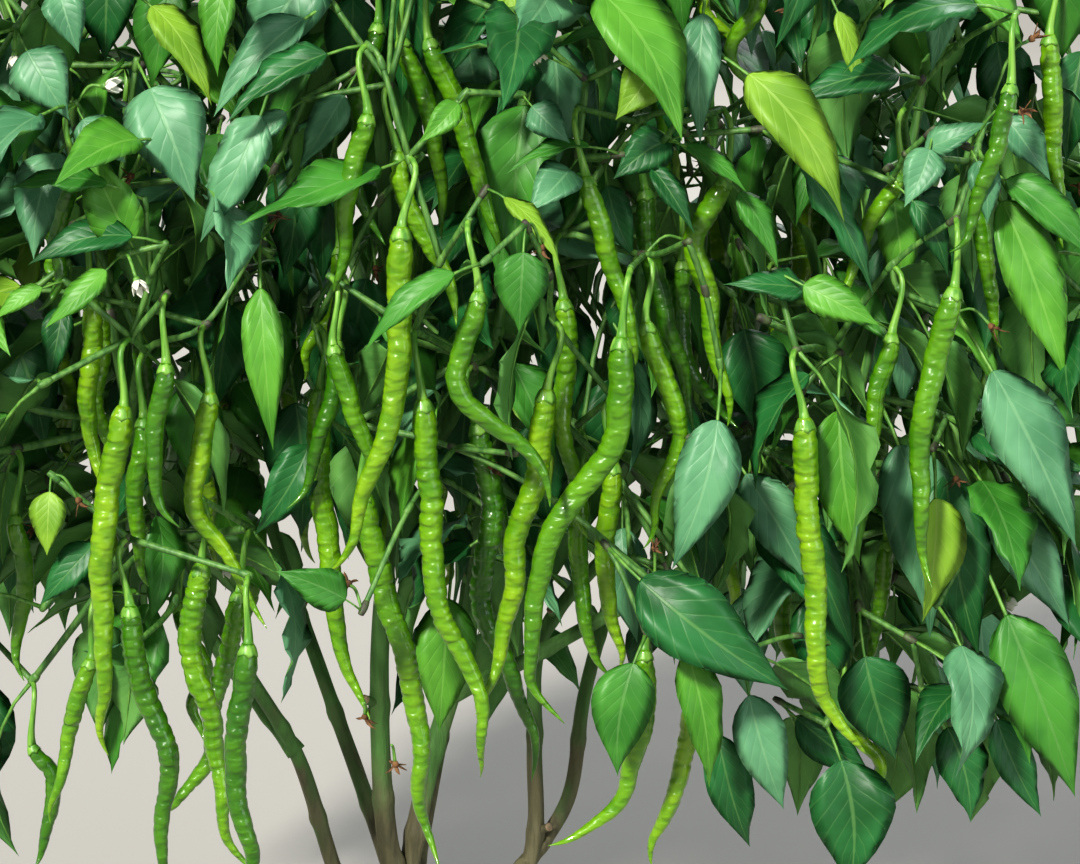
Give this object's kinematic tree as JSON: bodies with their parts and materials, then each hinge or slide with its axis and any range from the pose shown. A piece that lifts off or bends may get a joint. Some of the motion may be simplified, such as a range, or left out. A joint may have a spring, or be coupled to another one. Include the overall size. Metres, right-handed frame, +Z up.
{
  "type": "chilli pepper plant",
  "caption": "Upright chilli pepper plant on one green trunk that forks low into slim boughs, with drooping leaves and long wrinkled green pods hanging from its twigs.",
  "frame": {"origin": "middle of the trunk's flat foot, on the ground", "axes": "+Z up along the trunk, -Y towards the plant's front where most pods hang, +X to the right seen from the front"},
  "size_m": [0.8869, 0.7152, 1.1713],
  "materials": {
    "bark": "matt",
    "green_bark": "satin",
    "foliage": "satin"
  },
  "bodies": {
    "root": {"trunk": "bark", "bough_leader": "green_bark", "bough_right_leader": "green_bark", "bough_front_left": "green_bark", "bough_right": "green_bark", "bough_back_right": "green_bark", "bough_back_left": "green_bark", "bough_back_centre": "green_bark", "bough_front_centre": "green_bark", "bough_front_right": "green_bark", "bough_left": "green_bark", "bough_back_upper_left": "green_bark", "bough_back_upper_right": "green_bark", "bough_top": "green_bark", "foliage_front_centre": "foliage", "foliage_front_left": "foliage", "foliage_front_right": "foliage", "foliage_left": "foliage", "foliage_right": "foliage", "foliage_back_left": "foliage", "foliage_back_centre": "foliage", "foliage_back_right": "foliage", "foliage_upper_front_left": "foliage", "foliage_upper_front_right": "foliage", "foliage_upper_back_left": "foliage", "foliage_upper_back_right": "foliage", "foliage_top": "foliage"}
  },
  "joints": []
}
